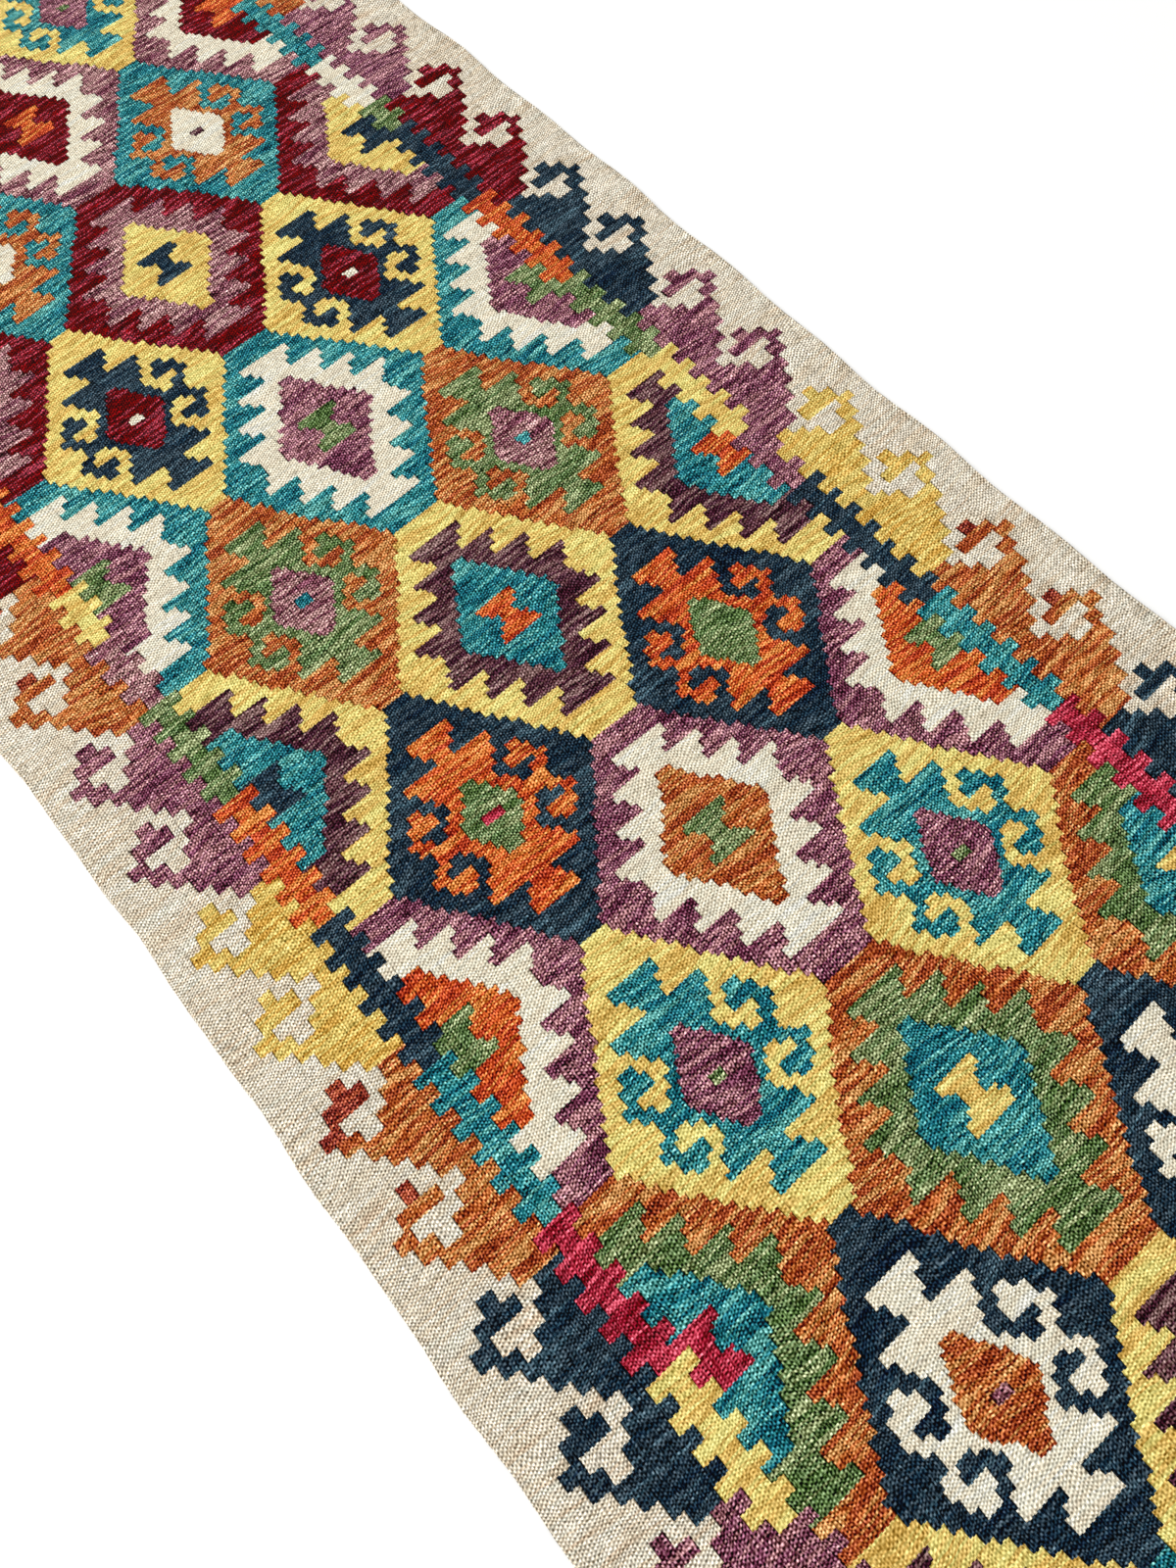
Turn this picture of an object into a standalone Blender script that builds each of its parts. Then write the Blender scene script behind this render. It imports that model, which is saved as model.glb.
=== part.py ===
"""A flat-woven kilim runner, lying flat.

One piece of wool cloth, about 0.81 m wide and 2.41 m long.  X runs across the rug from selvedge to
selvedge, Y runs along it with the warps, and Z is up.  The origin is on the floor under the middle.
All sizes are in metres.
"""

import math

import bmesh
import bpy

# The cloth
WIDTH = 0.814  # selvedge to selvedge, on average
LENGTH = 2.41  # end to end, on average
THICKNESS = 0.0035  # a tightly beaten, weft-faced wool weave
RIM_ROUND = 0.0014  # how far the turned selvedge and the end picks round over

# How the hand-woven outline strays, as (amplitude, wavelength, distance of a crest from the middle)
RIGHT_WAVES = ((0.0032, 1.30, 0.36), (0.0016, 0.141, 0.018), (0.0008, 0.234, 0.11))
LEFT_WAVES = ((0.0036, 1.42, 0.62), (0.0011, 0.163, 0.05), (0.0007, 0.094, 0.02))
FAR_END_WAVES = ((0.0030, 0.97, 0.10), (0.0012, 0.26, -0.06))
NEAR_END_WAVES = ((0.0026, 1.10, -0.14), (0.0014, 0.31, 0.09))

# How finely the outline is drawn
SIDE_STEPS = 96
END_STEPS = 20
RIM_SEGMENTS = 3

# The wool as it looks from a distance, all its colours together
WOOL_COLOUR = (0.33, 0.20, 0.12, 1.0)
WOOL_ROUGHNESS = 0.92


def stray(waves, distance):
    """How far an edge lies outside its straight line, at a distance along it from the middle."""
    return sum(size * math.cos(2 * math.pi * (distance - crest) / length) for size, length, crest in waves)


def outline():
    """The corner points of the cloth, anticlockwise from above."""
    half_width, half_length = WIDTH / 2, LENGTH / 2
    along = [half_length * (2 * step / SIDE_STEPS - 1) for step in range(SIDE_STEPS + 1)]
    across = [half_width * (2 * step / END_STEPS - 1) for step in range(1, END_STEPS)]
    right = [(half_width + stray(RIGHT_WAVES, y), y) for y in along]
    far = [(x, half_length + stray(FAR_END_WAVES, x)) for x in reversed(across)]
    left = [(-half_width - stray(LEFT_WAVES, y), y) for y in reversed(along)]
    near = [(x, -half_length - stray(NEAR_END_WAVES, x)) for x in across]
    return right + far + left + near


def wool():
    """The material of the cloth."""
    material = bpy.data.materials.new("wool")
    material.use_nodes = True
    shader = material.node_tree.nodes["Principled BSDF"]
    shader.inputs["Base Color"].default_value = WOOL_COLOUR
    shader.inputs["Roughness"].default_value = WOOL_ROUGHNESS
    shader.inputs["Metallic"].default_value = 0.0
    return material


def cloth():
    """The whole rug as one slab with a rounded rim, its underside on the floor."""
    bm = bmesh.new()
    underside = bm.faces.new([bm.verts.new((x, y, 0.0)) for x, y in outline()])
    raised = bmesh.ops.extrude_face_region(bm, geom=[underside])["geom"]
    top = [item for item in raised if isinstance(item, bmesh.types.BMVert)]
    bmesh.ops.translate(bm, verts=top, vec=(0.0, 0.0, THICKNESS))
    rim = [edge for edge in bm.edges if abs(edge.verts[0].co.z - edge.verts[1].co.z) < THICKNESS / 2]
    bmesh.ops.bevel(
        bm, geom=rim, offset=RIM_ROUND, segments=RIM_SEGMENTS, profile=0.5, affect="EDGES", clamp_overlap=False
    )
    bmesh.ops.recalc_face_normals(bm, faces=bm.faces)
    mesh = bpy.data.meshes.new("kilim")
    bm.to_mesh(mesh)
    bm.free()
    mesh.shade_smooth()
    mesh.set_sharp_from_angle(angle=math.radians(40))
    mesh.materials.append(wool())
    kilim = bpy.data.objects.new("kilim", mesh)
    bpy.context.scene.collection.objects.link(kilim)
    return kilim


for thing in list(bpy.data.objects):
    bpy.data.objects.remove(thing, do_unlink=True)
cloth()
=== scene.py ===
"""Looks of a flat-woven kilim runner of handspun, vegetable-dyed wool, lying on a pale floor.

The rug is built as it is woven.  A chart says which wool crosses each warp at each row of weft
beads, and the cloth is laid over the chart: a rib over every warp, a furrow between two warps, and a
slit wherever two colours meet beside each other.  Where one colour follows another the join is
toothed, because the beads of neighbouring warps sit half a bead apart, and the beating flattens the
teeth by about half.  Each wool is a piece of its own on the face, and the underside is one piece.

Frame: X runs across the rug from selvedge to selvedge, Y along it with the warps, Z up, in metres.
"""

from __future__ import annotations

import logging
import math
from dataclasses import dataclass, field
from enum import IntEnum
from typing import Any

import bpy
import numpy as np
from mathutils import Matrix

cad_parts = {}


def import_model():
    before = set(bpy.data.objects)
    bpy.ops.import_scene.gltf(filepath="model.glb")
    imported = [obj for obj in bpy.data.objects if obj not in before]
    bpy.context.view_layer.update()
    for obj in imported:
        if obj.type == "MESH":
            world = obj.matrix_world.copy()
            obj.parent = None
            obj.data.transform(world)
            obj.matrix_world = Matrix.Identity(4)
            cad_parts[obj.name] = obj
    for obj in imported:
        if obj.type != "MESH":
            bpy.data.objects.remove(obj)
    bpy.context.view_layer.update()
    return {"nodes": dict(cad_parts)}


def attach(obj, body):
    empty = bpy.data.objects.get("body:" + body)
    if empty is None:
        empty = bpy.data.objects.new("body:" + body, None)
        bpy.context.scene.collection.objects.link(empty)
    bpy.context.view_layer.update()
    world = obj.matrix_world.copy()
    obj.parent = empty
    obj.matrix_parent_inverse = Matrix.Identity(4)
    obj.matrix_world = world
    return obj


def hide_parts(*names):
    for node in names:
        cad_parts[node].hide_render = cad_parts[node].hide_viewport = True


log = logging.getLogger("kilim")

REPEAT = 0.2714  # one hooked diamond along the warps, tip to tip, on average
CLOTH_UNIT = 0.13  # the unit in which distances across the cloth are written in the charts
STEPS_IN_REPEAT = 30  # rows of steps of the field's figures in one repeat
BEYOND = 40.0  # a reach, in steps, that is wider than any figure
RIM_BAND = 0.3  # share of the CAD solid's thickness, about its middle, in which a point is on its rim
SIDE_FROM = 0.96  # a rim point further out than this share of the half width is on a selvedge
END_FROM = 0.985  # and one further along than this share of the half length is on an end
SEEN_GAMMA = 2.2  # light to the power of 1 / this is about how bright the eye sees it
UV_LOOM = "loom"
# Name of the point attribute by which the materials paint shade into slits
SLIT_SHADE_NAME = "slit"


# ------------------------------------------------------------------------------------------------
# The loom and the chart
# ------------------------------------------------------------------------------------------------


class Wool(IntEnum):
    """The wools on the weaver's shelf."""

    BEIGE = 0
    IVORY = 1
    YELLOW = 2
    TEAL = 3
    NAVY = 4
    PURPLE = 5
    AUBERGINE = 6
    RUST = 7
    ORANGE = 8
    GREEN = 9
    CRIMSON = 10
    MAUVE = 11
    RASPBERRY = 12
    GOLD = 13
    BRICK = 14


class Side(IntEnum):
    """Which half of the rug, as a sign along X."""

    LEFT = -1
    RIGHT = 1


@dataclass(frozen=True)
class Loom:
    """The set-up of the loom: how many warps and rows of beads, and how big they come out."""

    warps: int = 340
    rows: int = 800
    width: float = 0.814
    length: float = 2.41

    @property
    def bead(self) -> float:
        """Length of one weft bead along its warp."""
        return self.length / self.rows

    @property
    def pitch(self) -> float:
        """Distance from one warp to the next."""
        return self.width / self.warps

    def across(self) -> np.ndarray:
        """Distance of each warp from the centre line, in cloth units, as one row."""
        return ((np.arange(self.warps) + 0.5) * self.pitch - self.width / 2)[None, :] / CLOTH_UNIT

    def along(self) -> np.ndarray:
        """Place of each row of beads along the rug, in repeats from the first whole one, as one column."""
        return 3 - (self.length / 2 - (np.arange(self.rows) + 0.5) * self.bead)[:, None] / REPEAT


@dataclass
class Chart:
    """Which wool crosses each warp at each row of beads, as the weaver fills it in."""

    loom: Loom
    wool: np.ndarray = field(init=False)

    def __post_init__(self) -> None:
        """Starts with plain beige from end to end."""
        self.wool = np.full((self.loom.rows, self.loom.warps), int(Wool.BEIGE), np.int8)

    def fill(self, where: np.ndarray, wool: Wool) -> None:
        """Weaves one wool.

        Args:
            where: True for each bead it takes, as rows by warps.
            wool: The wool.
        """
        self.wool[np.broadcast_to(where, self.wool.shape)] = int(wool)

    def half_rows(self) -> np.ndarray:
        """The chart on half rows, where the beads of odd warps sit half a bead further along.

        Returns:
            The wool of each half row by warps, twice as many rows as the chart has.
        """
        shift = np.arange(self.loom.warps) % 2
        half = np.arange(2 * self.loom.rows)[:, None]
        bead = np.clip((half - shift[None, :]) // 2, 0, self.loom.rows - 1)
        return np.take_along_axis(self.wool, bead, axis=0)


@dataclass(frozen=True)
class Tension:
    """How hard the rows were beaten down, which makes some half diamonds longer than others.

    A place along the rug is turned into the place that it has in the evenly drawn pattern, by
    straight lines between the rows where the diamonds' tips and waists really came out.
    """

    woven: tuple[float, ...] = (
        -2.0, -1.0, -0.03, 0.49, 0.975, 1.495, 1.993, 2.50, 2.987, 3.495,
        3.962, 4.483, 4.947, 5.505, 5.975, 6.50, 7.0, 8.0,
    )  # fmt: skip
    drawn: tuple[float, ...] = (
        -2.0, -1.0, 0.0, 0.5, 1.0, 1.5, 2.0, 2.5, 3.0, 3.5,
        4.0, 4.5, 5.0, 5.5, 6.0, 6.5, 7.0, 8.0,
    )  # fmt: skip

    def even(self, along: np.ndarray) -> np.ndarray:
        """Place in the evenly drawn pattern of each place along the rug."""
        return np.interp(along, self.woven, self.drawn)


@dataclass(frozen=True)
class SteppedFigure:
    """A figure of level steps, alike in its four quarters, charted by counting steps from its centre.

    Each band of the chart has the height where it ends, in steps, and then its stretches from the
    centre outwards: how far each reaches, in steps, and the letter of the wool that fills it.
    """

    bands: tuple[tuple[float, tuple[tuple[float, str], ...]], ...]
    step_across: float = 0.0483
    slip: float = 0.22

    def weave(
        self,
        chart: Chart,
        centre: tuple[float, float],
        wools: dict[str, Wool],
        even: np.ndarray,
        hand: np.random.Generator,
        lean: float = 0.0,
        half: Side | None = None,
    ) -> None:
        """Weaves the figure into the chart.

        A bead belongs to the stretch in which its warp's distance from the centre falls, after each
        quarter's edge in each band has been moved by a fraction of a step, as a hand miscounts.

        Args:
            chart: The chart to fill.
            centre: Centre of the figure, across in cloth units and along in repeats.
            wools: Which wool each letter stands for; a letter that isn't here stays as it was.
            even: Place of each row of beads in the evenly drawn pattern.
            hand: The weaver's hand, for the small slips.
            lean: How far the figure leans across per step along.
            half: For a figure cut off along its middle line, the side where it goes on unchanged from it.
        """
        down = (even - centre[1]) * STEPS_IN_REPEAT
        out = (chart.loom.across() - centre[0]) / self.step_across - lean * down
        if half is not None:
            out = np.minimum(out * int(half), 0.0) * int(half)
        tops = np.array([top for top, _ in self.bands])
        widest = max(len(stretches) for _, stretches in self.bands)
        reach = np.full((len(tops), widest), BEYOND)
        inks = np.full((len(tops), widest + 1), -1)
        for row, (_, stretches) in enumerate(self.bands):
            for column, (limit, letter) in enumerate(stretches):
                reach[row, column] = limit
                inks[row, column] = int(wools.get(letter, -1))
        band = np.minimum(np.searchsorted(tops, np.abs(down[:, 0]), side="right"), len(tops) - 1)
        slip = hand.uniform(-self.slip, self.slip, (4, len(tops)))
        quarter = 2 * (down < 0) + (out < 0)
        edge = slip[quarter, band[:, None]]
        inside = np.abs(out)[:, :, None] > reach[band][:, None, :] + edge[:, :, None]
        found = inks[band[:, None], inside.sum(axis=2)]
        keep = (found >= 0) & (np.abs(down) < tops[-1])
        chart.wool[keep] = found[keep]


@dataclass(frozen=True)
class Heart:
    """The small diamond in the middle of a hooked one, with an eye; distances are in steps."""

    reach: float = 5.0
    rise: float = 4.95
    tip: float = 1.0
    ledges: int = 8
    eye: float = 1.1

    def diamond(self) -> SteppedFigure:
        """The small diamond (c): ledges of one height that narrow evenly from the waist to the tips."""
        narrowing = (self.reach - self.tip) / (self.ledges - 1)
        return SteppedFigure(tuple(
            (self.rise * (ledge + 1) / self.ledges, ((self.reach - narrowing * ledge, "c"),))
            for ledge in range(self.ledges)
        ))  # fmt: skip

    def pupil(self) -> SteppedFigure:
        """The eye (e), a small block with twice as many steps across as along."""
        return SteppedFigure(((self.eye / 2, ((self.eye, "e"),)),))


def hooked_figure() -> SteppedFigure:
    """A figure (m) with a cap at each end and two hooks on each side, and a ground (g) in its hooks."""
    return SteppedFigure((
        (0.85, ((9.1, "m"),)),
        (1.7, ((6.0, "m"), (8.0, "g"), (10.3, "m"))),
        (2.65, ((4.85, "m"), (9.0, "g"), (11.2, "m"))),
        (3.95, ((3.9, "m"), (5.95, "g"), (10.2, "m"))),
        (4.9, ((4.85, "m"), (7.0, "g"), (9.0, "m"))),
        (6.1, ((5.85, "m"),)),
        (7.1, ((6.9, "m"),)),
        (8.1, ((1.6, "m"),)),
        (9.1, ((2.5, "m"),)),
        (10.4, ((3.5, "m"),)),
    ))  # fmt: skip


def ground_diamond() -> SteppedFigure:
    """A diamond (g) of 15 steps each way."""
    return SteppedFigure(tuple((step + 1.0, ((16.0 - step, "g"),)) for step in range(15)))


def serrated_diamond() -> SteppedFigure:
    """A ground (g) with a saw-toothed diamond (s), a smaller diamond (i) and an hourglass (h) in it."""

    def ring(row: int) -> tuple[tuple[float, str], ...]:
        """Small diamond, saw-teeth three steps high and ground of one row of steps."""
        small = ((1.25 if row == 7 else 8.0 - row, "i"),) if row < 8 else ()
        teeth = ((11.3 + row % 3 - 3 * (row // 3), "s"),) if row < 12 else ()
        return small + teeth + ((BEYOND, "g"),)

    waist: tuple[tuple[float, tuple[tuple[float, str], ...]], ...] = (
        (0.75, ((1.3, "h"), *ring(0))),
        (1.0, ((2.3, "h"), *ring(0))),
        (1.35, ((2.3, "h"), *ring(1))),
        (2.0, ((3.2, "h"), *ring(1))),
        (2.45, ((3.2, "h"), *ring(2))),
    )
    return SteppedFigure(waist + tuple((row + 1.0, ring(row)) for row in range(2, 15)))


@dataclass(frozen=True)
class Field:
    """The middle of the rug: two files of hooked diamonds, and saw-toothed ones between and outside.

    A hooked diamond has its wools for the ground, the figure, the small diamond and the eye, and a
    saw-toothed one for the ground, the saw-teeth, the small diamond and the hourglass.
    """

    file_at: float = 0.978
    outer_at: float = 1.95
    lean: float = 0.03
    hooked: tuple[tuple[Wool, Wool, Wool, Wool], ...] = (
        (Wool.YELLOW, Wool.TEAL, Wool.PURPLE, Wool.GREEN),
        (Wool.TEAL, Wool.RUST, Wool.IVORY, Wool.AUBERGINE),
        (Wool.YELLOW, Wool.NAVY, Wool.CRIMSON, Wool.IVORY),
        (Wool.RUST, Wool.GREEN, Wool.MAUVE, Wool.TEAL),
        (Wool.NAVY, Wool.ORANGE, Wool.GREEN, Wool.RASPBERRY),
        (Wool.YELLOW, Wool.TEAL, Wool.PURPLE, Wool.GREEN),
        (Wool.NAVY, Wool.IVORY, Wool.RUST, Wool.MAUVE),
        (Wool.TEAL, Wool.CRIMSON, Wool.YELLOW, Wool.NAVY),
    )
    serrated: tuple[tuple[Wool, Wool, Wool, Wool], ...] = (
        (Wool.RUST, Wool.GREEN, Wool.YELLOW, Wool.NAVY),
        (Wool.MAUVE, Wool.IVORY, Wool.CRIMSON, Wool.ORANGE),
        (Wool.CRIMSON, Wool.MAUVE, Wool.YELLOW, Wool.NAVY),
        (Wool.TEAL, Wool.IVORY, Wool.PURPLE, Wool.GREEN),
        (Wool.YELLOW, Wool.AUBERGINE, Wool.TEAL, Wool.ORANGE),
        (Wool.PURPLE, Wool.IVORY, Wool.RUST, Wool.GREEN),
        (Wool.RUST, Wool.GREEN, Wool.TEAL, Wool.YELLOW),
        (Wool.YELLOW, Wool.AUBERGINE, Wool.CRIMSON, Wool.IVORY),
        (Wool.PURPLE, Wool.IVORY, Wool.TEAL, Wool.ORANGE),
    )
    hearts: tuple[tuple[Side, int, Heart], ...] = (
        (Side.LEFT, 1, Heart(reach=4.2, rise=4.0, tip=1.15, ledges=4, eye=1.0)),
        (Side.LEFT, 4, Heart(reach=4.2, rise=4.1, tip=1.15, ledges=4, eye=1.3)),
        (Side.RIGHT, 4, Heart(reach=4.7, rise=4.8, eye=0.0)),
    )
    outer_inside: tuple[tuple[Side, int, Wool, Wool], ...] = (
        (Side.LEFT, 3, Wool.TEAL, Wool.NAVY),
        (Side.LEFT, 4, Wool.ORANGE, Wool.GREEN),
        (Side.LEFT, 5, Wool.TEAL, Wool.RASPBERRY),
        (Side.RIGHT, 4, Wool.ORANGE, Wool.GREEN),
    )

    def weave(self, chart: Chart, even: np.ndarray, hand: np.random.Generator) -> None:
        """Weaves the saw-toothed diamonds in three files, then the hooked ones over them.

        Args:
            chart: The chart to fill.
            even: Place of each row of beads in the evenly drawn pattern.
            hand: The weaver's hand.
        """
        across = chart.loom.across()
        for centre in (0.0, -self.outer_at, self.outer_at):
            for number, wools in enumerate(self.serrated):
                self._serrated(chart, even, hand, centre, number - 1, wools, across)
        own_hearts = {(side, number): heart for side, number, heart in self.hearts}
        for side in Side:
            for number, wools in enumerate(self.hooked):
                heart = own_hearts.get((side, number), Heart())
                lean = hand.uniform(-self.lean, self.lean)
                centre = (int(side) * self.file_at, number - 0.5)
                for figure in (ground_diamond(), hooked_figure(), heart.diamond(), heart.pupil()):
                    figure.weave(chart, centre, dict(zip("gmce", wools)), even, hand, lean)

    def _serrated(
        self,
        chart: Chart,
        even: np.ndarray,
        hand: np.random.Generator,
        centre: float,
        place: int,
        wools: tuple[Wool, Wool, Wool, Wool],
        across: np.ndarray,
    ) -> None:
        """Weaves one saw-toothed diamond, and keeps to its own file.

        Args:
            chart: The chart to fill.
            even: Place of each row of beads in the evenly drawn pattern.
            hand: The weaver's hand.
            centre: Where its file stands, in cloth units.
            place: Its place along the rug, in repeats.
            wools: Ground, saw-teeth, small diamond and hourglass.
            across: Distance of each warp from the centre line.
        """
        ground, teeth, small, glass = wools
        for side, row, own_small, own_glass in self.outer_inside:
            if centre * side > 0 and row == place:
                small, glass = own_small, own_glass
        before = chart.wool.copy()
        colours = {"g": ground, "s": teeth, "i": small, "h": glass}
        half = None if centre == 0 else Side(int(np.sign(centre)))
        lean = hand.uniform(-self.lean, self.lean)
        serrated_diamond().weave(chart, (centre, place), colours, even, hand, lean, half)
        own = np.abs(across) < self.file_at if half is None else across * int(half) > self.file_at
        chart.wool = np.where(own, chart.wool, before)


@dataclass(frozen=True)
class CombLine:
    """The toothed line between field and border: a spine with teeth to both sides, in changing wools.

    Distances across are in cloth units, and places along the rug are in repeats.
    """

    spine: tuple[float, float] = (2.105, 2.229)
    teeth: tuple[float, float] = (2.012, 2.320)
    tooth_every: float = 0.0872
    slip: float = 0.012
    left: tuple[tuple[float, Wool], ...] = (
        (-1.0, Wool.TEAL), (-0.45, Wool.PURPLE), (0.0, Wool.GREEN), (0.45, Wool.NAVY),
        (0.95, Wool.CRIMSON), (1.42, Wool.ORANGE), (1.93, Wool.YELLOW), (2.18, Wool.MAUVE),
        (2.485, Wool.GREEN), (2.925, Wool.ORANGE), (3.432, Wool.NAVY), (3.95, Wool.TEAL),
        (4.46, Wool.RASPBERRY), (4.91, Wool.YELLOW), (5.35, Wool.PURPLE), (5.85, Wool.GREEN),
        (6.35, Wool.ORANGE), (7.0, Wool.BEIGE),
    )  # fmt: skip
    right: tuple[tuple[float, Wool], ...] = (
        (-1.0, Wool.NAVY), (-0.5, Wool.ORANGE), (0.0, Wool.TEAL), (0.52, Wool.IVORY),
        (0.858, Wool.GREEN), (1.034, Wool.NAVY), (1.535, Wool.ORANGE), (2.08, Wool.GREEN),
        (2.54, Wool.YELLOW), (2.99, Wool.PURPLE), (3.265, Wool.NAVY), (3.86, Wool.TEAL),
        (4.36, Wool.RASPBERRY), (4.88, Wool.YELLOW), (5.4, Wool.ORANGE), (5.9, Wool.NAVY),
        (6.4, Wool.GREEN), (7.0, Wool.BEIGE),
    )  # fmt: skip

    def weave(self, chart: Chart, hand: np.random.Generator) -> None:
        """Weaves both lines; each stretch of one wool starts with a tooth and has whole teeth.

        Args:
            chart: The chart to fill.
            hand: The weaver's hand.
        """
        along, across = chart.loom.along(), chart.loom.across()
        for side, runs in ((Side.LEFT, self.left), (Side.RIGHT, self.right)):
            out = across * int(side)
            for (start, wool), (stop, _) in zip(runs, runs[1:]):
                count = max(1, round((stop - start) / self.tooth_every))
                phase = (along - start) / (stop - start) * count
                row = np.clip(phase.astype(int), 0, count - 1)
                here = (phase >= 0) & (phase < count)
                tooth = here & (phase - row < 0.5)
                slip = hand.uniform(-self.slip, self.slip, (2, count))
                inner, outer = self.teeth[0] + slip[0][row], self.teeth[1] + slip[1][row]
                chart.fill(here & (out > self.spine[0]) & (out < self.spine[1]), wool)
                chart.fill(tooth & (out > inner) & (out < outer), wool)


@dataclass(frozen=True)
class HookRow:
    """One step of a border hook: where it starts, how far its body reaches, and what stands free of it.

    The start is counted in steps from the start of the hook; distances across are in cloth units.
    """

    top: float
    body: float
    free: tuple[float, float] | None = None


@dataclass(frozen=True)
class HookBorder:
    """The border: stepped hooks that point to the selvedge, two to a block of one wool, on plain beige.

    A hook has seven steps, even on the left and a little uneven on the right.  The loose tip at the
    end of a block belongs to the next hook, so it already has the next block's wool.
    """

    starts_at: float = 2.229
    hook_length: float = 0.345
    step_length: float = 0.0493
    cut_short: float = 0.2
    slip: float = 0.010
    left_hook: tuple[HookRow, ...] = (
        HookRow(0.0, 2.430, (2.566, 2.853)),
        HookRow(1.0, 2.514, (2.804, 2.944)),
        HookRow(2.0, 2.597, (2.724, 2.863)),
        HookRow(3.0, 2.767),
        HookRow(4.0, 2.687),
        HookRow(5.0, 2.604),
        HookRow(6.0, 2.518, (2.658, 2.772)),
    )
    right_hook: tuple[HookRow, ...] = (
        HookRow(-0.3, 2.444, (2.583, 2.900)),
        HookRow(0.6, 2.520, (2.850, 2.975)),
        HookRow(1.4, 2.612, (2.777, 2.905)),
        HookRow(2.4, 2.824),
        HookRow(3.6, 2.737),
        HookRow(4.7, 2.655),
        HookRow(5.8, 2.542, (2.690, 2.798)),
    )
    left: tuple[tuple[float, Wool], ...] = (
        (-1.0, Wool.NAVY), (-0.93, Wool.GOLD), (-0.25, Wool.RUST), (0.43, Wool.NAVY),
        (1.12, Wool.CRIMSON), (1.81, Wool.RUST), (2.503, Wool.PURPLE), (3.197, Wool.GOLD),
        (3.857, Wool.RUST), (4.53, Wool.NAVY), (5.21, Wool.PURPLE), (5.89, Wool.GOLD),
        (6.57, Wool.RUST), (7.0, Wool.BEIGE),
    )  # fmt: skip
    right: tuple[tuple[float, Wool], ...] = (
        (-1.0, Wool.NAVY), (-0.5, Wool.RUST), (0.2, Wool.PURPLE), (0.9, Wool.CRIMSON),
        (1.632, Wool.NAVY), (2.37, Wool.PURPLE), (3.075, Wool.GOLD), (3.79, Wool.RUST),
        (4.5, Wool.NAVY), (5.2, Wool.PURPLE), (5.9, Wool.GOLD), (6.6, Wool.RUST), (7.0, Wool.BEIGE),
    )  # fmt: skip

    def weave(self, chart: Chart, hand: np.random.Generator) -> None:
        """Weaves both borders, block by block along each.

        Args:
            chart: The chart to fill.
            hand: The weaver's hand.
        """
        for side, hook, blocks in (
            (Side.LEFT, self.left_hook, self.left),
            (Side.RIGHT, self.right_hook, self.right),
        ):
            for (start, wool), (stop, following) in zip(blocks, blocks[1:]):
                self._block(chart, hand, side, hook, (start, stop), (wool, following))

    def _block(
        self,
        chart: Chart,
        hand: np.random.Generator,
        side: Side,
        hook: tuple[HookRow, ...],
        span: tuple[float, float],
        wools: tuple[Wool, Wool],
    ) -> None:
        """Weaves one block: the bodies of its hooks, then the steps that stand free of them.

        A block holds whole hooks, stretched to fill it.  One that the plain end of the rug cuts short
        is counted back from where it stops, in steps of the usual length.

        Args:
            chart: The chart to fill.
            hand: The weaver's hand.
            side: Which border it is in.
            hook: The steps of one hook.
            span: Where the block starts and stops, in repeats.
            wools: Its own wool and the next block's.
        """
        along, out = chart.loom.along(), chart.loom.across() * int(side)
        start, stop = span
        hooks = max(1, round((stop - start) / self.hook_length))
        count = len(hook) * hooks
        place = (along - start) / (stop - start) * count
        if stop - start < self.cut_short:
            place = (along - stop) / self.step_length + count
        tops = [len(hook) * number + step.top for number in range(hooks) for step in hook]
        row = np.searchsorted([*tops, count + hook[0].top], place, side="right") - 1
        slip = hand.uniform(-self.slip, self.slip, (3, count))
        reach = np.tile([step.body for step in hook], hooks) + slip[0]
        body = reach[np.clip(row, 0, count - 1)]
        here = (along >= start) & (along < stop)
        chart.fill(here & (out > self.starts_at) & (out < body), wools[0])
        for number in range(count):
            free = hook[number % len(hook)].free
            if free is not None:
                near, far = free[0] + slip[1][number], free[1] + slip[2][number]
                wool = self._free_wool(side, number, len(hook), wools[number == count - 1])
                chart.fill((row == number) & (out > near) & (out < far), wool)

    def _free_wool(self, side: Side, number: int, steps: int, wool: Wool) -> Wool:
        """The wool of one free step; beside rust, loose tips and the first loop on the left are darker.

        Args:
            side: Which border it is in.
            number: The step's number in its block.
            steps: How many steps a hook has.
            wool: The wool of the block that the step belongs to.

        Returns:
            The wool to weave it with.
        """
        tip = number % steps == steps - 1
        first_loop = side is Side.LEFT and number < 2
        return Wool.BRICK if wool is Wool.RUST and (tip or first_loop) else wool


@dataclass
class Pattern:
    """The whole chart of the rug."""

    loom: Loom
    tension: Tension = Tension()
    seed: int = 11

    def draw(self) -> Chart:
        """Fills the chart from the middle outwards, and leaves both ends plain.

        Returns:
            The finished chart.
        """
        hand = np.random.default_rng(self.seed)
        chart = Chart(self.loom)
        along, across = self.loom.along(), self.loom.across()
        Field().weave(chart, self.tension.even(along), hand)
        chart.fill(np.abs(across) > HookBorder().starts_at, Wool.BEIGE)
        HookBorder().weave(chart, hand)
        CombLine().weave(chart, hand)
        chart.fill((along < -1) | (along > 7), Wool.BEIGE)
        return chart


# ------------------------------------------------------------------------------------------------
# How the cloth lies
# ------------------------------------------------------------------------------------------------


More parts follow.
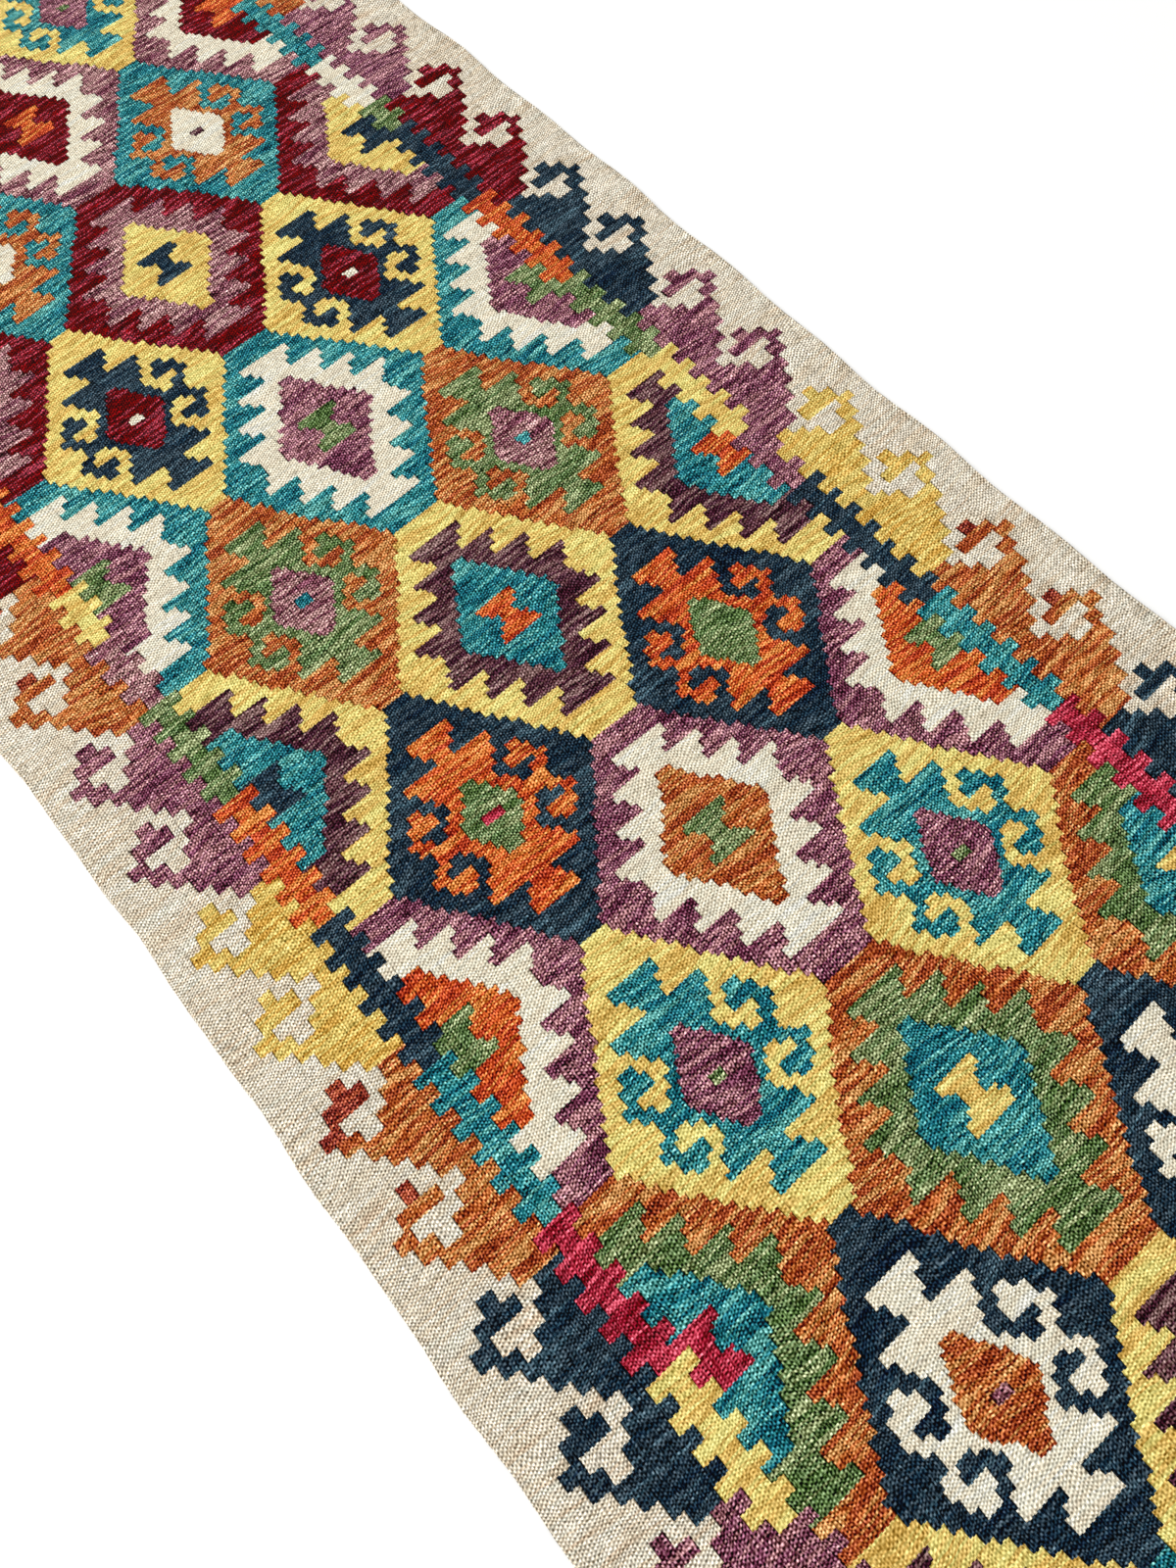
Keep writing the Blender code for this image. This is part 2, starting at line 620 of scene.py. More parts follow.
@dataclass(frozen=True)
class Outline:
    """The rug's edges, read from the CAD solid: each is two arrays, places and where the edge is there."""

    left: tuple[np.ndarray, np.ndarray]
    right: tuple[np.ndarray, np.ndarray]
    near: tuple[np.ndarray, np.ndarray]
    far: tuple[np.ndarray, np.ndarray]

    @classmethod
    def of(cls, solid: bpy.types.Object) -> Outline:
        """Takes the widest ring of the solid's rim, halfway up, and parts it into the four edges.

        Args:
            solid: The CAD node of the rug.

        Returns:
            The outline.
        """
        points = np.empty(len(solid.data.vertices) * 3, np.float32)
        solid.data.vertices.foreach_get("co", points)
        points = points.reshape(-1, 3).astype(float)
        low, high = points.min(0), points.max(0)
        middle = (low[2] + high[2]) / 2
        ring = points[np.abs(points[:, 2] - middle) < RIM_BAND * (high[2] - low[2])]
        side, end = SIDE_FROM * high[0], END_FROM * high[1]

        def edge(keep: np.ndarray, along: int) -> tuple[np.ndarray, np.ndarray]:
            """The ring's points of one edge, in order along one axis."""
            found = ring[keep]
            found = found[np.argsort(found[:, along])]
            return found[:, along], found[:, 1 - along]

        return cls(
            left=edge(ring[:, 0] < -side, 1),
            right=edge(ring[:, 0] > side, 1),
            near=edge(ring[:, 1] < -end, 0),
            far=edge(ring[:, 1] > end, 0),
        )


@dataclass(frozen=True)
class Pull:
    """A place where the cloth is out of square: it is shifted most there, and less around it."""

    at: tuple[float, float]
    reach: float
    shift: tuple[float, float]

    def strength(self, x: np.ndarray, y: np.ndarray) -> np.ndarray:
        """How much of the shift there is at each point, by a bell curve around the place."""
        return np.exp(-((x - self.at[0]) ** 2 + (y - self.at[1]) ** 2) / (2 * self.reach**2))


@dataclass(frozen=True)
class Wave:
    """A long, small wave in the cloth: its height in metres, its turn in radians to each unit, its start."""

    height: float
    across: float
    along: float
    start: float = 0.0

    def at(self, x: np.ndarray, y: np.ndarray) -> np.ndarray:
        """The wave at each point, a sine of both places together."""
        return self.height * np.sin(self.across * x + self.along * y + self.start)


@dataclass(frozen=True)
class Lay:
    """Puts a point of the loom (warps across, beads along, height) where it lies on the floor.

    The warps sway by waves whose place across is the share of the width; the rest is in metres.
    """

    loom: Loom
    outline: Outline
    warp_sway: tuple[Wave, ...] = (Wave(0.0005, 7.8, 13.1), Wave(0.0003, 24.6, 31.7, 2.0))
    weft_sway: tuple[Wave, ...] = (
        Wave(0.0007, 19.0, 3.1),
        Wave(0.00049, 43.0, -11.0, 0.8),
        Wave(0.000245, 97.0, 23.0),
    )
    cockle: float = 0.0006
    end_reach: float = 0.35
    pulls: tuple[Pull, ...] = (
        Pull((-0.27, -0.54), 0.15, (-0.0085, -0.0070)),
        Pull((0.14, -0.10), 0.13, (0.0000, -0.0060)),
        Pull((0.08, -0.50), 0.15, (0.0040, -0.0055)),
        Pull((0.15, 0.52), 0.14, (0.0045, 0.0000)),
        Pull((-0.30, -0.24), 0.16, (-0.0044, 0.0025)),
        Pull((-0.15, 0.72), 0.34, (-0.0037, -0.0020)),
        Pull((0.40, 0.48), 0.12, (-0.0006, -0.0032)),
        Pull((0.00, -0.36), 0.12, (0.0022, 0.0002)),
        Pull((0.40, -0.30), 0.12, (0.0023, 0.0005)),
    )

    def place(self, warp: np.ndarray, bead: np.ndarray, height: np.ndarray) -> np.ndarray:
        """Lays points of the cloth on the floor.

        Across, a point keeps its share of the width between the two selvedges at its own place
        along the rug, and sways by the warps' waves, which die out at the selvedges.  Along, it sways
        by the weft's waves, and near an end it takes up the stray of that end, by the square of how
        near it is.  The pulls then shift the cloth, and fade out before the ends.  The height gets
        cockles: a product of two sines plus a slanting one, which together are never below 0.

        Args:
            warp: Place across, in warps from the left selvedge.
            bead: Place along, in beads from the far end.
            height: Height over the floor in metres before the cockles.

        Returns:
            The points, as rows of x, y and z.
        """
        share = warp / self.loom.warps
        y = self.loom.length / 2 - bead * self.loom.bead
        left = np.interp(y, *self.outline.left)
        right = np.interp(y, *self.outline.right)
        x = left + share * (right - left)
        inside = 4 * share * (1 - share)
        x = x + np.minimum(1, 2 * inside) * sum(wave.at(share, y) for wave in self.warp_sway)
        far_stray = np.interp(x, *self.outline.far) - self.loom.length / 2
        near_stray = np.interp(x, *self.outline.near) + self.loom.length / 2
        to_far = np.clip(1 - (self.loom.length / 2 - y) / self.end_reach, 0, 1) ** 2
        to_near = np.clip(1 - (self.loom.length / 2 + y) / self.end_reach, 0, 1) ** 2
        amid = (1 - to_far) * (1 - to_near)
        sway = sum(wave.at(x, y) for wave in self.weft_sway)
        y = y + to_far * far_stray + to_near * near_stray + sway * amid
        strengths = [pull.strength(x, y) * amid for pull in self.pulls]
        x = x + sum(strength * pull.shift[0] for strength, pull in zip(strengths, self.pulls))
        y = y + sum(strength * pull.shift[1] for strength, pull in zip(strengths, self.pulls))
        bumps = np.sin(x * 21 + 2.1 * np.sin(y * 5)) * np.sin(y * 17 + 1.0)
        rise = 0.5 + 0.28 * bumps + 0.22 * np.sin(x * 9 - y * 26)
        return np.stack([x, y, height + self.cockle * rise], axis=1)


@dataclass(frozen=True)
class Relief:
    """Heights of one face of the cloth over the floor, in metres."""

    rib: float = 0.00335
    furrow: float = 0.00285
    slit: float = 0.00200
    slit_below: float = 0.00135
    rim: float = 0.00090
    cord_rise: float = 0.00020
    cord_furrow: float = 0.00235
    loop: float = 0.00030

    def turned(self, thickness: float) -> Relief:
        """The same relief on the underside, where a slit ends a little below that of the face.

        Args:
            thickness: Thickness of the cloth.

        Returns:
            The heights of the underside.
        """
        return Relief(
            rib=thickness - self.rib,
            furrow=thickness - self.furrow,
            slit=self.slit_below,
            rim=self.rim,
            cord_rise=0.0,
            cord_furrow=thickness - self.cord_furrow,
            loop=self.loop,
        )


@dataclass
class WovenFace:
    """One face of the cloth as strips between furrow and rib lines, cut where the wool changes.

    A rib line runs along the middle of every warp, and a furrow line between each two warps.  A rib
    line has a point where its own warp changes wool, a furrow line where either neighbour does, and
    both have points at even distances.  Each half strip between a furrow and a rib is filled with one
    triangle for each stretch of the furrow, to the last rib point before it, and one for each stretch
    of the rib, so a change of wool is an edge of the mesh and never crosses a face.  The distances
    between points are in half beads, and slits and selvedges have their own, shorter ones.
    """

    loom: Loom
    half: np.ndarray
    lay: Lay
    relief: Relief
    every: int = 16
    slit_every: int = 2
    edge_every: int = 8
    beaten: float = 0.55
    outer_rib: float = 0.42
    upward: bool = True
    points: np.ndarray = field(init=False)
    loom_uv: np.ndarray = field(init=False)
    slit_shading: np.ndarray = field(init=False)
    level: np.ndarray = field(init=False)
    triangles: np.ndarray = field(init=False)
    wools: np.ndarray = field(init=False)

    def __post_init__(self) -> None:
        """Works out every point and triangle of the face, as whole arrays."""
        wool = self.half.T.astype(int)
        rib, furrow, open_slit = self._lines(wool)
        rib_at, furrow_at = np.argwhere(rib), np.argwhere(furrow)
        self._place(rib_at, furrow_at, open_slit)
        self._join(wool, rib, furrow, rib_at, furrow_at)

    def _lines(self, wool: np.ndarray) -> tuple[np.ndarray, np.ndarray, np.ndarray]:
        """Says at which half beads the lines have points.

        The two outermost warps on each side have more points, so that they follow the curve of the
        selvedge; without them the underside would show beside the face.  The rim has one at each.

        Args:
            wool: The wool of each warp at each half bead.

        Returns:
            Whether there is a point, for ribs and for furrows, and whether a furrow has a slit there.
        """
        warps, cells = wool.shape
        steps = np.arange(cells + 1)
        even = (steps % self.every == 0) | (steps == 1) | (steps == cells - 1)
        change = np.ones((warps, cells + 1), bool)
        change[:, 1:cells] = wool[:, 1:] != wool[:, :-1]
        apart = np.zeros((warps + 1, cells), bool)
        apart[1:warps] = wool[1:] != wool[:-1]
        rib = change | even
        rib[[0, 1, -2, -1]] |= steps % self.edge_every == 0
        furrow = np.ones((warps + 1, cells + 1), bool)
        furrow[1:warps] = change[1:] | change[:-1] | even
        furrow[[1, 2, -3, -2]] |= steps % self.edge_every == 0
        open_slit = np.zeros_like(furrow)
        open_slit[:, 1:cells] = apart[:, 1:] & apart[:, :-1]
        furrow |= open_slit & (steps % self.slit_every == 0)
        return rib, furrow, open_slit

    def _join(
        self,
        wool: np.ndarray,
        rib: np.ndarray,
        furrow: np.ndarray,
        rib_at: np.ndarray,
        furrow_at: np.ndarray,
    ) -> None:
        """Fills the half strips between ribs and furrows with triangles, each of one wool.

        Args:
            wool: The wool of each warp at each half bead.
            rib: Whether a rib has a point at each half bead.
            furrow: Whether a furrow has one.
            rib_at: Warp and half bead of each rib point.
            furrow_at: Furrow and half bead of each furrow point.
        """
        warps, cells = wool.shape
        rib_id, furrow_id = np.full(rib.shape, -1), np.full(furrow.shape, -1)
        rib_id[rib] = np.arange(len(rib_at))
        furrow_id[furrow] = np.arange(len(furrow_at)) + len(rib_at)
        last_rib = np.maximum.accumulate(np.where(rib, np.arange(cells + 1), 0), axis=1)

        start, stop = furrow_at[:-1], furrow_at[1:]
        run = start[:, 0] == stop[:, 0]
        start, stop = start[run], stop[run]
        groups: list[tuple[np.ndarray, np.ndarray]] = []
        for warp_side in (0, -1):
            warp = start[:, 0] + warp_side
            keep = (warp >= 0) & (warp < warps)
            w, a, b = warp[keep], start[keep], stop[keep]
            apex = rib_id[w, last_rib[w, a[:, 1]]]
            first, second = furrow_id[a[:, 0], a[:, 1]], furrow_id[b[:, 0], b[:, 1]]
            corners = (first, second, apex) if warp_side == 0 else (second, first, apex)
            groups.append((np.stack(corners, axis=1), wool[w, a[:, 1]]))

        start, stop = rib_at[:-1], rib_at[1:]
        run = start[:, 0] == stop[:, 0]
        start, stop = start[run], stop[run]
        w = start[:, 0]
        first, second = rib_id[w, start[:, 1]], rib_id[w, stop[:, 1]]
        inks = wool[w, start[:, 1]]
        groups.append((np.stack((first, furrow_id[w, stop[:, 1]], second), axis=1), inks))
        groups.append((np.stack((first, second, furrow_id[w + 1, stop[:, 1]]), axis=1), inks))

        self.triangles = np.concatenate([corners for corners, _ in groups])
        self.wools = np.concatenate([inks for _, inks in groups])
        if not self.upward:
            self.triangles = self.triangles[:, ::-1]

    def _place(self, rib_at: np.ndarray, furrow_at: np.ndarray, open_slit: np.ndarray) -> None:
        """Gives each rib and furrow point its place, its loom coordinates and how much painted shade it gets
        in a slit.

        Ribs stand at one height and furrows lower; a furrow between two wools is a slit and goes to
        the middle of the cloth.  The two outermost ribs on each side form the selvedge cord, a little
        higher, with a deeper furrow inside it.  All four edges end at the height of the rim, and along
        the selvedges the weft's turning loops stand out by a small amount at every second half bead.
        Half beads are beaten flatter: even ones come a little late and odd ones a little early, which
        shortens the teeth where the wool changes.  Away from slits and edges the cloth is level on
        the whole, and is shaded so, because long thin triangles tell little of how it leans.

        Args:
            rib_at: Warp and half bead of each rib point.
            furrow_at: Furrow and half bead of each furrow point.
            open_slit: Whether a furrow point has a slit before and after it.
        """
        warps, cells = self.loom.warps, 2 * self.loom.rows
        r = self.relief
        rib, furrow = rib_at[:, 0], furrow_at[:, 0]
        rib_height = np.full(len(rib), r.rib)
        rib_height[(rib < 2) | (rib > warps - 3)] += r.cord_rise
        furrow_height = np.full(len(furrow), r.furrow)
        inner = open_slit[furrow, furrow_at[:, 1]]
        furrow_height[inner] = r.slit
        furrow_height[(furrow == 2) | (furrow == warps - 2)] = r.cord_furrow
        selvedge = (furrow == 0) | (furrow == warps)
        furrow_height[selvedge] = r.rim

        half = np.concatenate([rib_at[:, 1], furrow_at[:, 1]])
        bead = half / 2 + self.beaten / 4 * np.where(half % 2 == 0, 1, -1)
        height = np.concatenate([rib_height, furrow_height])
        height[(half == 0) | (half == cells)] = r.rim

        rib_warp = rib + 0.5
        rib_warp[rib == 0] = self.outer_rib
        rib_warp[rib == warps - 1] = warps - self.outer_rib
        warp = np.concatenate([rib_warp, furrow.astype(float)])
        outward = np.where(furrow == 0, -1, 1) * selvedge
        loops = outward * (furrow_at[:, 1] % 2 - 0.5) * r.loop / self.loom.pitch
        placed = warp + np.concatenate([np.zeros(len(rib)), loops])

        self.points = self.lay.place(placed, bead, height)
        self.loom_uv = np.stack([warp, bead], axis=1)
        # Furrow points in a slit get painted shade in the materials
        self.slit_shading = np.concatenate([np.zeros(len(rib)), inner.astype(float)])
        outermost = (rib == 0) | (rib == warps - 1)
        away = np.concatenate([~outermost, ~(inner | selvedge)])
        self.level = away & (half > 0) & (half < cells)

    def mesh(self, name: str, only: Wool | None = None) -> bpy.types.Mesh:
        """Makes a mesh of the whole face, or of one wool of it.

        Points that are level get a normal straight away from the cloth, and the others keep Blender's.

        Args:
            name: Name of the mesh.
            only: The wool, or None for all of them.

        Returns:
            The mesh, with its loom map and the painted shade of its slits.
        """
        chosen = slice(None) if only is None else self.wools == int(only)
        used, corners = np.unique(self.triangles[chosen], return_inverse=True)
        corners = corners.reshape(-1, 3).astype(np.int32)
        mesh = bpy.data.meshes.new(name)
        mesh.vertices.add(len(used))
        mesh.vertices.foreach_set("co", self.points[used].astype(np.float32).ravel())
        mesh.loops.add(corners.size)
        mesh.loops.foreach_set("vertex_index", corners.ravel())
        mesh.polygons.add(len(corners))
        mesh.polygons.foreach_set("loop_start", np.arange(0, corners.size, 3, dtype=np.int32))
        loom_map = mesh.uv_layers.new(name=UV_LOOM)
        loom_map.uv.foreach_set("vector", self.loom_uv[used][corners.ravel()].astype(np.float32).ravel())
        # Where the materials paint shade into the slits
        slit = mesh.attributes.new(SLIT_SHADE_NAME, "FLOAT", "POINT")
        slit.data.foreach_set("value", self.slit_shading[used].astype(np.float32))
        if only is None:
            mesh.polygons.foreach_set("material_index", self.wools.astype(np.int32))
        mesh.update(calc_edges=True)
        mesh.shade_smooth()
        facing = np.zeros((len(used), 3), np.float32)
        facing[self.level[used], 2] = 1.0 if self.upward else -1.0
        mesh.normals_split_custom_set_from_vertices(facing)
        return mesh


# ------------------------------------------------------------------------------------------------
# Finishes
# ------------------------------------------------------------------------------------------------


def linear(colour: str) -> tuple[float, float, float, float]:
    """Turns an sRGB hex colour into the linear one that shaders take.

    Args:
        colour: Six hex digits, with or without a leading hash.

    Returns:
        Red, green, blue and alpha.
    """
    digits = colour.lstrip("#")
    parts = [int(digits[i : i + 2], 16) / 255 for i in (0, 2, 4)]
    red, green, blue = (p / 12.92 if p <= 0.04045 else ((p + 0.055) / 1.055) ** 2.4 for p in parts)
    return red, green, blue, 1.0


def add(
    tree: bpy.types.NodeTree,
    kind: str,
    settings: dict[str, Any] | None = None,
    links: dict[Any, Any] | None = None,
) -> bpy.types.Node:
    """Adds a node with its settings and its inputs.

    Args:
        tree: The node tree.
        kind: The node's type name.
        settings: Properties to set on the node.
        links: For each input, by name or number, a socket to link from or a value to set.

    Returns:
        The node.
    """
    node = tree.nodes.new(kind)
    for key, value in (settings or {}).items():
        setattr(node, key, value)
    for key, value in (links or {}).items():
        if isinstance(value, bpy.types.NodeSocket):
            tree.links.new(value, node.inputs[key])
        else:
            node.inputs[key].default_value = value
    return node


@dataclass(frozen=True)
class WoolFinish:
    """Handspun, vegetable-dyed wool weft, beaten down until it hides the warps.

    The yarn took the dye unevenly, so it runs from dark to light along its length.  Woven back and
    forth, that gives short streaks one or two picks thick inside broader bands.  Each pick shows as
    a small oval bead over every second warp, leaning with the spin: its back gets a painted highlight,
    and the pits between the beads get painted shade.  The beads differ from each other, as handspun yarn
    does.

    Sizes are in warps across (2.4 mm) and beads along (3.0 mm).  ``contrast`` is how far the painted
    highlights on the backs and the painted shade in the pits and slits part from the dyed colour, and
    ``weave``, ``ribs``, ``grain``, ``cords`` and ``slub`` are the strengths of the beads and of the lines
    along the warps, which are both bumps and painted light and shade, of tufts of fibre, of yarn that
    sits tighter or looser, and of thick and thin picks.  ``streaks``, ``bands`` and ``lots`` say how much
    the dye differs from pick to pick, from yarn to yarn and from one hand's width to the next.  With
    more ``painted_gleam`` a painted highlight turns paler, and with less it only gets brighter in its own
    hue.  ``slit_shade`` is how dark the painted shade in a slit is.
    """

    name: str
    shades: tuple[str, ...]
    contrast: float = 0.32
    streaks: float = 1.0
    bands: float = 1.0
    lots: float = 0.6
    weave: float = 0.45
    ribs: float = 0.35
    cords: float = 0.7
    grain: float = 1.1
    slub: float = 1.05
    painted_gleam: float = 0.65
    slit_shade: float = 0.8
    shades_span: tuple[float, float] = (0.12, 0.88)
    drift: tuple[tuple[float, float], ...] = ((24.0, 3.9), (3.2, 0.65))
    streak_size: tuple[float, float] = (22.0, 1.6)
    band_size: tuple[float, float] = (45.0, 7.0)
    lot_size: tuple[float, float] = (70.0, 14.0)
    tuft_size: tuple[float, float] = (1 / 2.2, 1 / 2)
    cord_size: tuple[float, float] = (1 / 1.2, 1.7)
    slub_size: tuple[float, float] = (9.0, 1 / 1.4)
    proud: float = 0.0002

    def material(self, batch: float) -> bpy.types.Material:
        """Builds the material from the cloth's loom map, whose units are one warp by one bead.

        Args:
            batch: A number of its own for each wool, so that no two share their streaks.

        Returns:
            The material.
        """
        made = bpy.data.materials.new(self.name)
        made.use_nodes = True
        tree = made.node_tree
        tree.nodes.clear()
        warp_map = add(tree, "ShaderNodeUVMap", {"uv_map": UV_LOOM})
        loom = add(tree, "ShaderNodeSeparateXYZ", None, {0: warp_map.outputs["UV"]})
        across, along = loom.outputs["X"], loom.outputs["Y"]

        def maths(operation: str, *values: Any) -> bpy.types.NodeSocket:
            """The result of one Math node."""
            return add(tree, "ShaderNodeMath", {"operation": operation}, dict(enumerate(values))).outputs[0]

        def pair(x: Any, y: Any, size: tuple[float, float]) -> bpy.types.NodeSocket:
            """Both places in units of that size."""
            return add(tree, "ShaderNodeCombineXYZ", None, {
                0: maths("DIVIDE", x, size[0]), 1: maths("DIVIDE", y, size[1])}).outputs[0]  # fmt: skip

        def noise(x: Any, y: Any, size: tuple[float, float], detail: float) -> bpy.types.NodeSocket:
            """Soft noise in two dimensions, 0 to 1, with one lump to each unit of that size."""
            place = pair(x, y, size)
            return add(tree, "ShaderNodeTexNoise", {"noise_dimensions": "2D"}, {
                "Vector": place, "Scale": 1.0, "Detail": detail, "Roughness": 0.55}).outputs[0]  # fmt: skip

        def speck(x: Any, y: Any, size: tuple[float, float]) -> bpy.types.NodeSocket:
            """A random number from 0 to 1 for each block of that size."""
            cell = add(tree, "ShaderNodeVectorMath", {"operation": "FLOOR"}, {0: pair(x, y, size)})
            return add(tree, "ShaderNodeTexWhiteNoise", {"noise_dimensions": "2D"}, {
                "Vector": cell.outputs[0]}).outputs[0]  # fmt: skip

        # The weave drifts: the spacing of warps and picks over a hand's width, and single beads by a little
        row, column = along, across
        for reach, amount in self.drift:
            row = maths("MULTIPLY_ADD", noise(across, along, (reach, reach), 0.0), amount, row)
            aside = maths("ADD", across, 90.0 * reach)
            column = maths("MULTIPLY_ADD", noise(aside, along, (reach, reach), 0.0), amount, column)

        # Beads sit like bricks, so three waves make them: one along each of the two slanting lines of beads,
        # of which the line that the spin follows is stronger, and one across the warps.  Their sum is about
        # 1 on a back and -1 in a pit, and it makes both the bump and the painted highlights and shade
        slant = maths("MULTIPLY", column, 0.5)
        waves = 0.0
        for place, strength in (
            (maths("ADD", row, slant), self.weave),
            (maths("SUBTRACT", row, slant), 0.7 * self.weave),
            (column, self.ribs),
        ):
            turn = maths("SINE", maths("MULTIPLY", place, 2 * math.pi))
            waves = maths("MULTIPLY_ADD", turn, strength, waves)

        # The dye: a streak is a pick or two, crisp from pick to pick and slow to change across, a band is a
        # change of yarn, and a lot is hand-wide and soft.  They add up to a place on the row of shades
        yarn = maths("ADD", row, 31.0 * batch)
        pick = maths("FLOOR", maths("MULTIPLY", yarn, 2.0))
        streak = noise(across, pick, self.streak_size, 1.0)
        change = maths("MULTIPLY_ADD", noise(across, pick, self.band_size, 0.0), 5.0, -2.0)
        band = maths("MINIMUM", maths("MAXIMUM", change, 0.0), 1.0)
        lot = noise(across, yarn, self.lot_size, 1.0)
        shade = 0.5
        for value, strength in ((streak, 3.0 * self.streaks), (band, 0.3 * self.bands), (lot, self.lots)):
            shade = maths("ADD", shade, maths("MULTIPLY", maths("SUBTRACT", value, 0.5), strength))
        ramp = add(tree, "ShaderNodeValToRGB", None, {0: shade})
        stops = ramp.color_ramp
        while len(stops.elements) > 1:
            stops.elements.remove(stops.elements[-1])
        places = np.linspace(*self.shades_span, len(self.shades)).tolist()
        for number, (at, colour) in enumerate(zip(places, self.shades)):
            stop = stops.elements[0] if number == 0 else stops.elements.new(at)
            stop.position, stop.color = at, linear(colour)

        # Painted light and shade: the backs of the beads get painted highlights, and the pits and slits get
        # painted shade.  A fibre is too fine to show, so a tuft of them is drawn half a warp wide.
        # Tighter yarn and thin picks are darker
        # The slit attribute says where to paint shade into the slits
        slit = add(tree, "ShaderNodeAttribute", {"attribute_name": SLIT_SHADE_NAME}).outputs["Fac"]
        painted_light_and_tone = maths("MULTIPLY", slit, -self.slit_shade * self.contrast)
        painted_light_and_tone = maths("MULTIPLY_ADD", waves, self.contrast, painted_light_and_tone)
        for value, strength in (
            (speck(column, row, self.tuft_size), self.grain),
            (noise(column, row, self.cord_size, 0.0), self.cords),
            (noise(across, yarn, self.slub_size, 0.0), self.slub),
        ):
            painted_light_and_tone = maths("MULTIPLY_ADD", maths("SUBTRACT", value, 0.5), strength * self.contrast, painted_light_and_tone)

        # The painted light and shade, with the tufts, cords and slub, is put on the scale that the eye sees
        # by.  One part is a share of the colour, so that dark wool keeps its hue, and the other is painted
        # light added to it, which makes the painted highlights paler
        share = maths("MULTIPLY_ADD", painted_light_and_tone, 1.95 - 2 * self.painted_gleam, 1.0)
        light = maths("MULTIPLY", painted_light_and_tone, self.painted_gleam)
        seen = add(tree, "ShaderNodeGamma", None, {0: ramp.outputs[0], 1: 1 / SEEN_GAMMA}).outputs[0]
        toned = add(tree, "ShaderNodeVectorMath", {"operation": "MULTIPLY_ADD"}, {
            0: seen, 1: share, 2: light})  # fmt: skip
        bounded = add(tree, "ShaderNodeVectorMath", {"operation": "MAXIMUM"}, {0: toned.outputs[0]})
        dyed = add(tree, "ShaderNodeGamma", None, {0: bounded.outputs[0], 1: SEEN_GAMMA})

        # Relief: a back stands 0.4 mm over a pit.  Wool is matt, with hardly a sheen
        bump = add(tree, "ShaderNodeBump", None, {"Strength": 1.0, "Distance": self.proud, "Height": waves})
        shader = add(tree, "ShaderNodeBsdfPrincipled", None, {
            "Base Color": dyed.outputs[0], "Roughness": 0.92, "Specular IOR Level": 0.08,
            "Normal": bump.outputs[0]})  # fmt: skip
        add(tree, "ShaderNodeOutputMaterial", None, {"Surface": shader.outputs[0]})
        return made


def undyed(name: str, shades: tuple[str, ...], contrast: float) -> WoolFinish:
    """Wool in the sheep's own colour, which is more even than dyed wool and shows its beads more.

    Args:
        name: Name of the material.
        shades: Its shades from dark to light.
        contrast: How far the painted highlights on the backs and the painted shade in the pits part from
            them.

    Returns:
        The finish.
    """
    return WoolFinish(
        name, shades, contrast, streaks=0.45, bands=0.5, lots=0.4, weave=0.55, cords=0.6, grain=0.8, slub=0.7
    )


WOOL_FINISHES: dict[Wool, WoolFinish] = {
    # Undyed wool of a greyer fleece
    Wool.BEIGE: undyed("wool_undyed_beige", ("#B9A389", "#C4B69E", "#C9BFAD", "#CBC6B4"), 0.27),
    # Undyed wool of a white fleece
    Wool.IVORY: undyed("wool_undyed_ivory", ("#C9BFAA", "#D3C7AE", "#D4CEB9", "#D1CFC3"), 0.21),
    # Weld and onion skin: clear yellow with golden picks
    Wool.YELLOW: WoolFinish("wool_weld_yellow", ("#C19A4A", "#CCAB5D", "#D4C16D", "#D4C877"), 0.2, 0.7, 0.9),
    # A deeper weld bath for the loops of the side borders
    Wool.GOLD: WoolFinish("wool_weld_gold", ("#B88A35", "#C39946", "#CBAE5B", "#CCB464"), 0.24, 0.8, 0.9),
    # Indigo over a little weld: teal with petrol picks
    Wool.TEAL: WoolFinish("wool_teal", ("#004756", "#0C6067", "#1B7074", "#498E88"), 0.37, 1.0, 1.0),
    # Deep indigo: nearly even
    Wool.NAVY: WoolFinish("wool_deep_indigo", ("#000A20", "#021A2A", "#1E2D37", "#35505D"), 0.28, 0.4, 0.5),
    # Madder over indigo: plum purple with pink and near-black picks
    Wool.PURPLE: WoolFinish("wool_plum_purple", ("#4F172E", "#643041", "#784855", "#916064"), 0.43, 1.5, 1.6),
    # Walnut and madder: dark aubergine
    Wool.AUBERGINE: WoolFinish(
        "wool_aubergine", ("#29010F", "#361120", "#583036", "#765956"), 0.29, 0.95, 0.9
    ),
    # Madder and walnut: rust with dark red and ochre picks
    Wool.RUST: WoolFinish("wool_rust", ("#832F0A", "#9C4714", "#A85921", "#B37B42"), 0.34, 1.3, 2.0),
    # Rust from the bottom of the bath: dark brick red
    Wool.BRICK: WoolFinish("wool_brick", ("#66140A", "#74200E", "#8C3418", "#9A4626"), 0.38, 1.0, 1.1),
    # Bright madder orange
    Wool.ORANGE: WoolFinish(
        "wool_madder_orange", ("#962708", "#B23D10", "#BB5319", "#C57532"), 0.32, 1.1, 1.2
    ),
    # Weld over indigo: leaf green with sage picks
    Wool.GREEN: WoolFinish("wool_leaf_green", ("#3B5422", "#465E33", "#5B693C", "#818B5E"), 0.38, 0.95, 1.1),
    # Madder crimson: deep, and the painted highlights on its backs stay in its own hue, no paler
    Wool.CRIMSON: WoolFinish(
        "wool_madder_crimson", ("#470000", "#470000", "#560003", "#7C2936"), 0.4, 1.0, 0.9,
        painted_gleam=0.0, cords=1.0, slub=1.4,
    ),  # fmt: skip
    # Another dye bath of madder: lighter and pinker
    Wool.RASPBERRY: WoolFinish(
        "wool_madder_raspberry", ("#72000F", "#760D20", "#AA2238", "#C8485C"), 0.3, 1.0, 0.9
    ),
    # Pale madder over indigo: mauve, of an uneven yarn
    Wool.MAUVE: WoolFinish(
        "wool_mauve", ("#531C2D", "#724148", "#875C5D", "#9E7773"), 0.4, 1.1, 1.0, cords=1.0, slub=1.4
    ),
}


